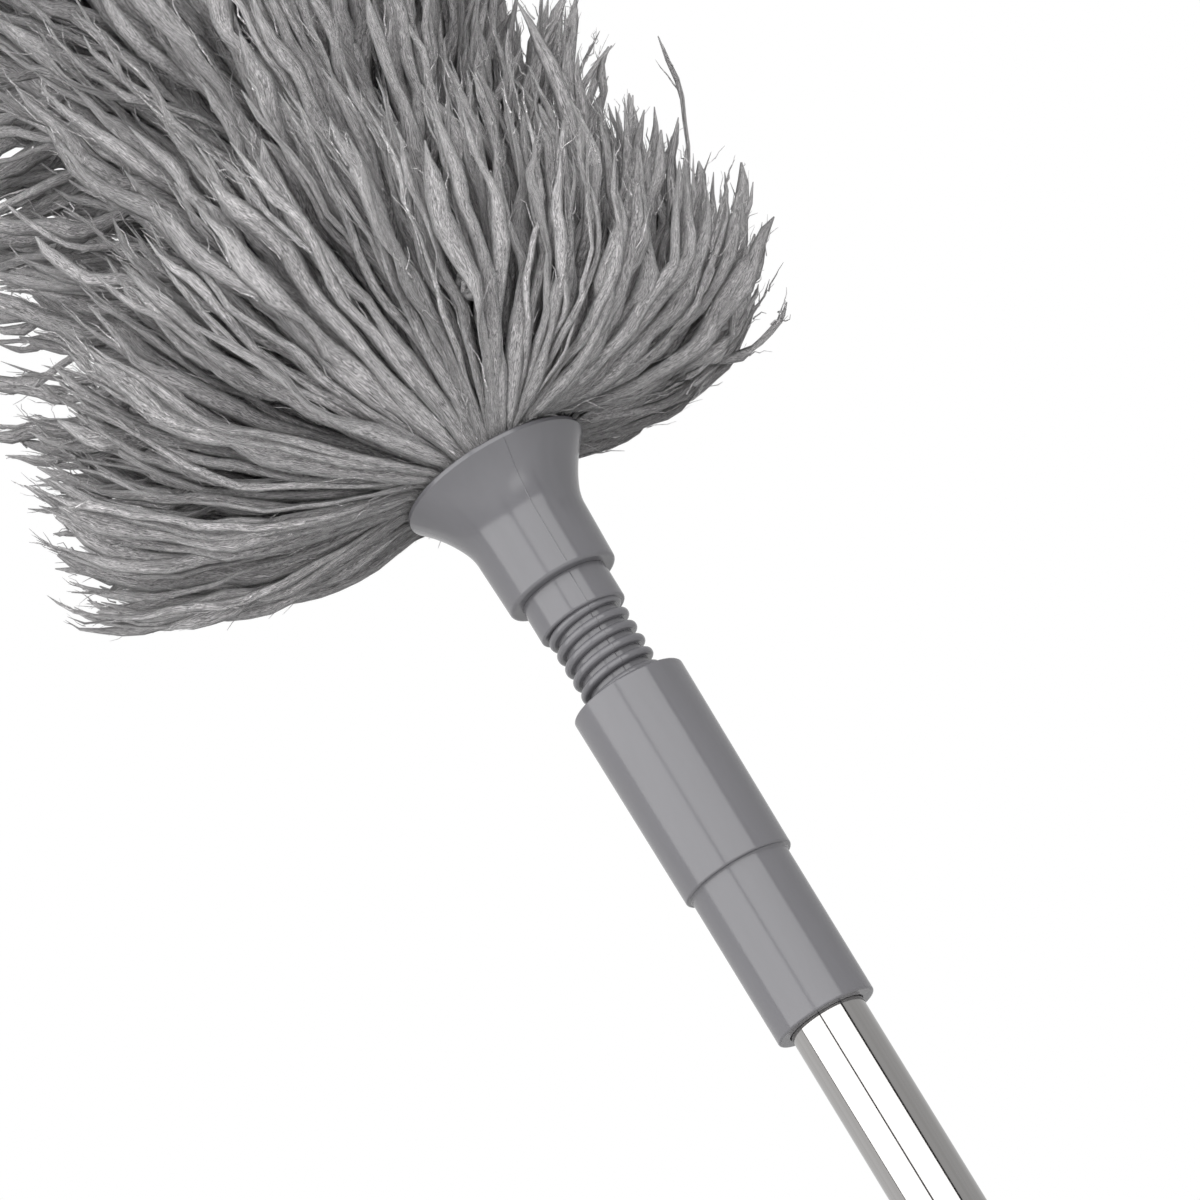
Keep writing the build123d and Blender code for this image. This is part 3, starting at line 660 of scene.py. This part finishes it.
TILT = math.radians(17.5)
ROLL = math.radians(31.5)
DISTANCE = 1.292
AIM_RIGHT = 6.6 * MM
AIM_UP = -21.8 * MM
LENS = 165
SENSOR = 36
LAMP_DISTANCE = 1.35
CARD_DISTANCE = LAMP_DISTANCE * 0.92
CARD_FOOT = 0.05
CARD_TOP = RIM + 1.4
ROOM_LEFT = 0.85
ROOM_RIGHT = 0.56
FLOOR_HALF = 6.0
FLOOR_Z = -1 * MM


def make_camera():
    """Looks up at the head from low in front, rolled so that the pole leans to the upper left."""
    ahead = Vector((0, math.cos(TILT), math.sin(TILT)))
    level_up = Vector((0, -math.sin(TILT), math.cos(TILT)))
    right = Vector((math.cos(ROLL), 0, 0)) - level_up * math.sin(ROLL)
    up = Vector((math.sin(ROLL), 0, 0)) + level_up * math.cos(ROLL)
    data = bpy.data.cameras.new("camera")
    data.lens = LENS
    data.sensor_width = SENSOR
    camera = bpy.data.objects.new("camera", data)
    bpy.context.scene.collection.objects.link(camera)
    spot = Vector((0, 0, ADAPTER_TOP)) - right * AIM_RIGHT - up * AIM_UP - ahead * DISTANCE
    turn = Matrix((right, up, -ahead)).transposed()
    camera.matrix_world = Matrix.Translation(spot) @ turn.to_4x4()
    bpy.context.scene.camera = camera


def towards(azimuth, elevation):
    """A direction seen from the head: azimuth 0 is towards the camera and grows to its right."""
    flat = math.cos(elevation)
    return Vector((flat * math.sin(azimuth), -flat * math.cos(azimuth), math.sin(elevation)))


def make_softbox(name, left, right, low, high, brightness):
    """A soft rectangular lamp that fills these angles in degrees, as the head sees them."""
    azimuth, elevation = math.radians((left + right) / 2), math.radians((low + high) / 2)
    data = bpy.data.lights.new(name, "AREA")
    data.shape = "RECTANGLE"
    data.size = 2 * LAMP_DISTANCE * math.tan(math.radians(right - left) / 2)
    data.size_y = 2 * LAMP_DISTANCE * math.tan(math.radians(high - low) / 2)
    data.energy = brightness * math.pi * data.size * data.size_y
    lamp = bpy.data.objects.new(name, data)
    bpy.context.scene.collection.objects.link(lamp)
    direction = towards(azimuth, elevation)
    lamp.location = Vector((0, 0, RIM)) + direction * LAMP_DISTANCE
    lamp.rotation_euler = (-direction).to_track_quat("-Z", "Y").to_euler()
    lamp.visible_camera = False


def make_black_card(name, azimuth, width, material):
    """A narrow upright black card, which draws a dark line down every glossy tube."""
    direction = towards(math.radians(azimuth), 0)
    across = Vector((-direction.y, direction.x, 0)) * width / 2
    middle = direction * CARD_DISTANCE
    outline = ((-1, CARD_FOOT), (1, CARD_FOOT), (1, CARD_TOP), (-1, CARD_TOP))
    corners = [middle + across * side + Vector((0, 0, height)) for side, height in outline]
    mesh = bpy.data.meshes.new(name)
    mesh.from_pydata(corners, [], [(0, 1, 2, 3)])
    mesh.materials.append(material)
    card = bpy.data.objects.new(name, mesh)
    bpy.context.scene.collection.objects.link(card)
    card.visible_camera = False
    card.visible_diffuse = False


def make_surround():
    """White behind the object, and a greyer room for everything that the object reflects."""
    world = bpy.data.worlds.new("surround")
    world.use_nodes = True
    nodes, links = world.node_tree.nodes, world.node_tree.links
    room = nodes["Background"]
    sides = nodes.new("ShaderNodeSeparateXYZ")
    links.new(nodes.new("ShaderNodeTexCoord").outputs["Generated"], sides.inputs["Vector"])
    across = nodes.new("ShaderNodeMapRange")
    across.inputs["From Min"].default_value = -1  # the room is graded from its left side to its right
    across.inputs["To Min"].default_value = ROOM_LEFT
    across.inputs["To Max"].default_value = ROOM_RIGHT
    links.new(sides.outputs["X"], across.inputs["Value"])
    links.new(across.outputs["Result"], room.inputs["Strength"])
    paper = nodes.new("ShaderNodeBackground")
    mix = nodes.new("ShaderNodeMixShader")
    links.new(nodes.new("ShaderNodeLightPath").outputs["Is Camera Ray"], mix.inputs["Fac"])
    for background, socket in ((room, 1), (paper, 2)):
        background.inputs["Color"].default_value = (1, 1, 1, 1)
        links.new(background.outputs["Background"], mix.inputs[socket])
    links.new(mix.outputs["Shader"], nodes["World Output"].inputs["Surface"])
    bpy.context.scene.world = world
    bpy.context.scene.view_settings.view_transform = "Standard"


def make_floor():
    """A plain pale floor just under the end cap."""
    mesh = bpy.data.meshes.new("floor")
    corners = [(x * FLOOR_HALF, y * FLOOR_HALF, FLOOR_Z) for x, y in ((-1, -1), (1, -1), (1, 1), (-1, 1))]
    mesh.from_pydata(corners, [], [(0, 1, 2, 3)])
    material, nodes, links, shader = new_material("floor_paper")
    paper = noise(nodes, links, place(nodes, links, (3, 3, 3)), 1.0, 4)
    links.new(ramp(nodes, links, paper, (0.3, grey(0.78)), (0.7, grey(0.82))), shader.inputs["Base Color"])
    shader.inputs["Roughness"].default_value = 0.8
    mesh.materials.append(material)
    floor = bpy.data.objects.new("floor", mesh)
    bpy.context.scene.collection.objects.link(floor)


def make_studio():
    """Two tall softboxes side by side in front, edged and parted by black cards, and a lower fill."""
    make_softbox("softbox_left", -81, -13, -12, 46, 1.9)
    make_softbox("softbox_right", -9, 57, -12, 46, 1.9)
    make_softbox("fill_low", 14, 40, -62, -31, 1.7)
    black, _, _, shader = new_material("black_card")
    shader.inputs["Base Color"].default_value = (0.01, 0.01, 0.01, 1)
    cards = (("card_left", -82, 0.05), ("card_middle", -11, 0.09), ("card_right", 58, 0.13))
    for name, azimuth, width in cards:
        make_black_card(name, azimuth, width, black)


finish_cad_nodes()
make_seam("collar_seam", "flared_collar", "collar", SEAM_AZIMUTH, LIP + 1.2 * MM, RIM - 1.2 * MM, 60)
make_seam("skirt_seam", "threaded_plug", "head", SEAM_AZIMUTH, ADAPTER_TOP - 8 * MM, LIP - 0.5 * MM, 240)
make_pile()
make_surround()
make_floor()
make_studio()
make_camera()
